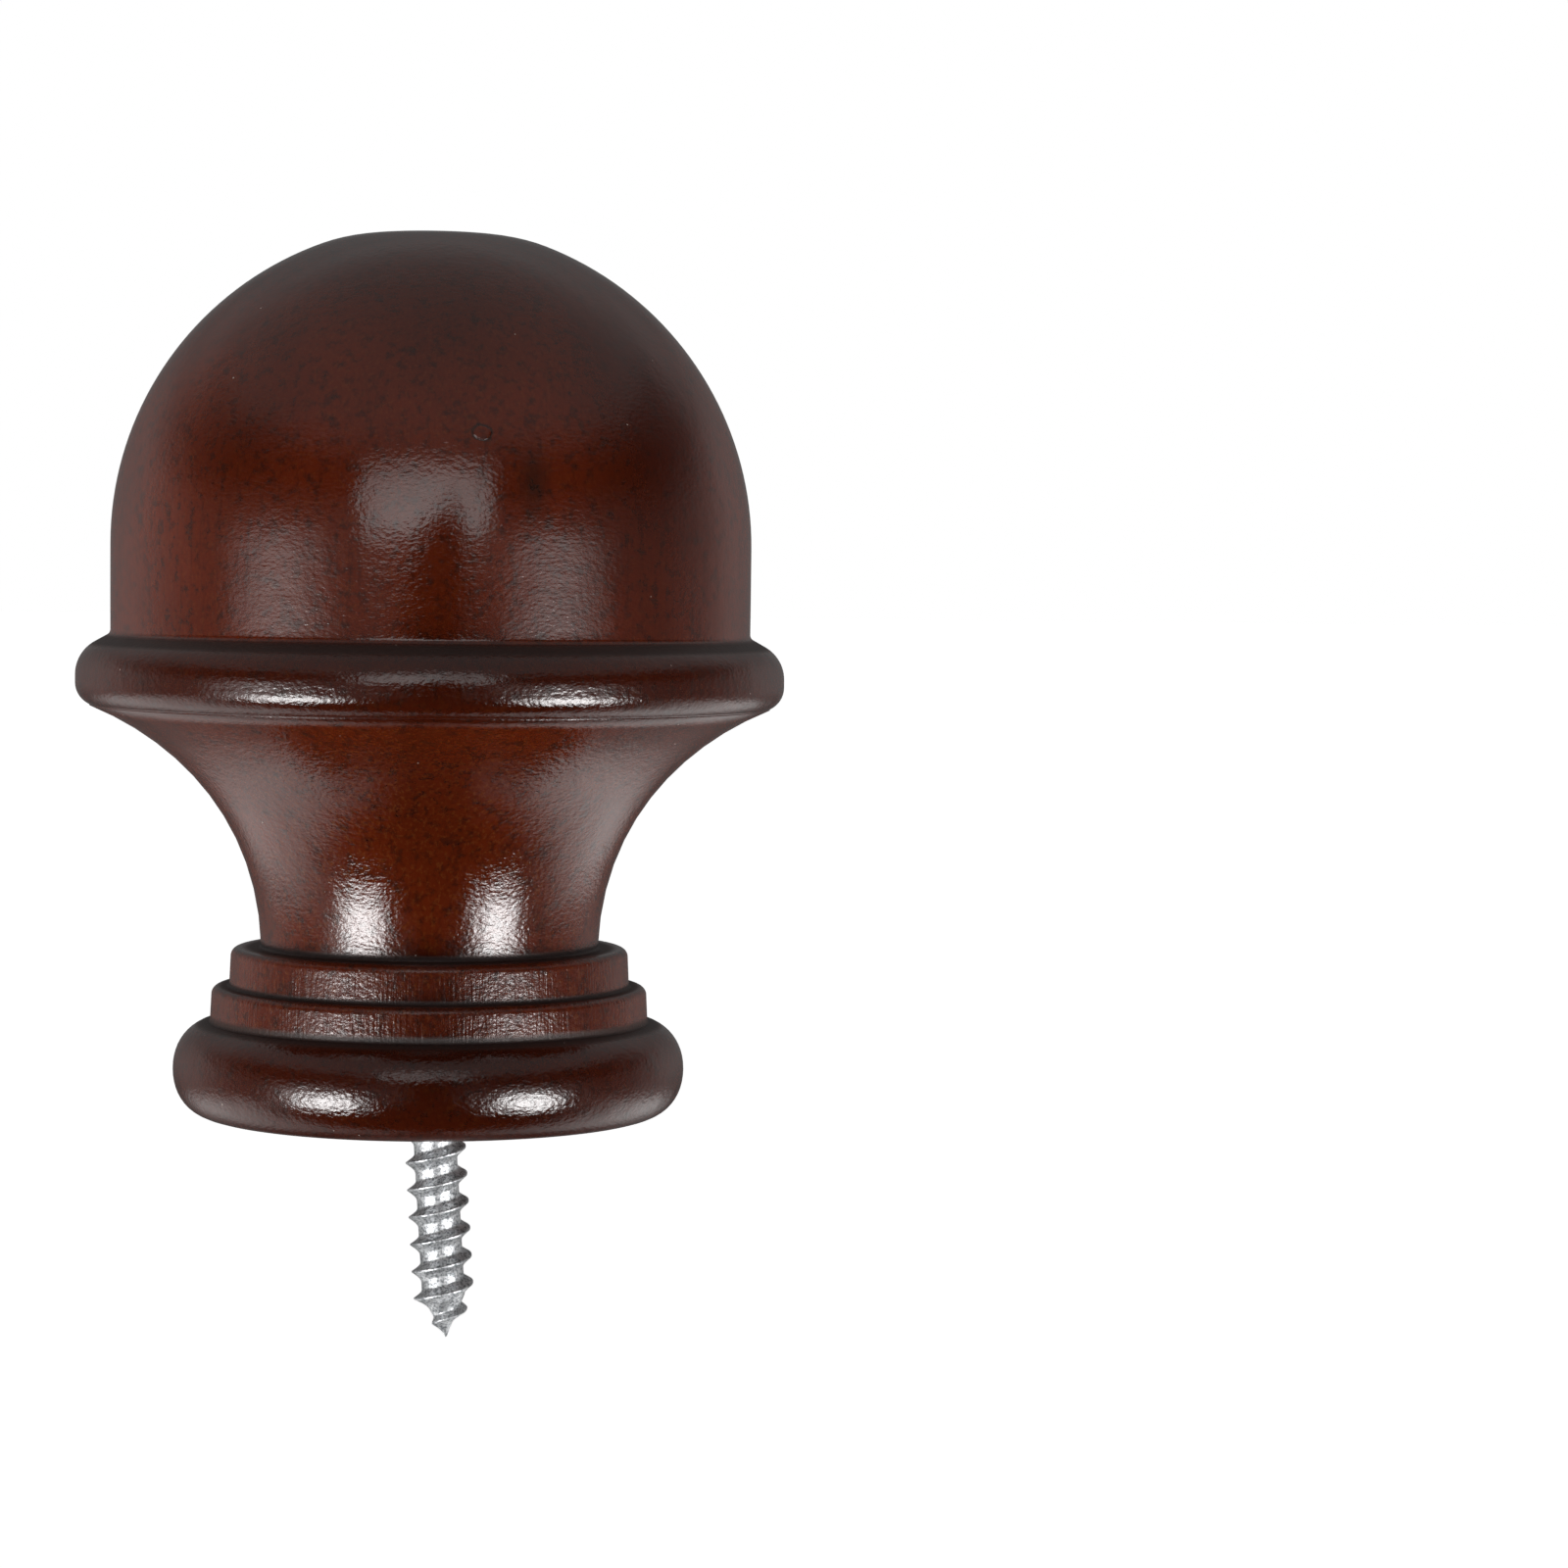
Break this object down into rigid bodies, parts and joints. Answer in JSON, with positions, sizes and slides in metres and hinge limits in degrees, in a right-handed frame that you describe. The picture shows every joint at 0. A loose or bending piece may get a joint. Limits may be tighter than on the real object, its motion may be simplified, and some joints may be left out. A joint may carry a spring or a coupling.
{
  "type": "curtain pole finial",
  "caption": "Turned wooden ball finial with a flared, ringed neck and a stepped foot, and a wood screw that fixes it to the end of a curtain pole.",
  "frame": {"origin": "centre of the flat seat face on the finial's base, which closes against the end of the pole", "axes": "+Z along the turning axis, out of the seat face towards the ball's crown; the screw reaches down along -Z and leans slightly towards +X; the picture looks along +Y with +X to its right"},
  "size_m": [0.069, 0.069, 0.1084],
  "materials": {
    "wood": "dark mahogany stain under gloss lacquer",
    "steel": "bright zinc plated steel"
  },
  "bodies": {
    "root": {"finial_body": "wood", "dowel_screw": "steel"}
  },
  "joints": []
}
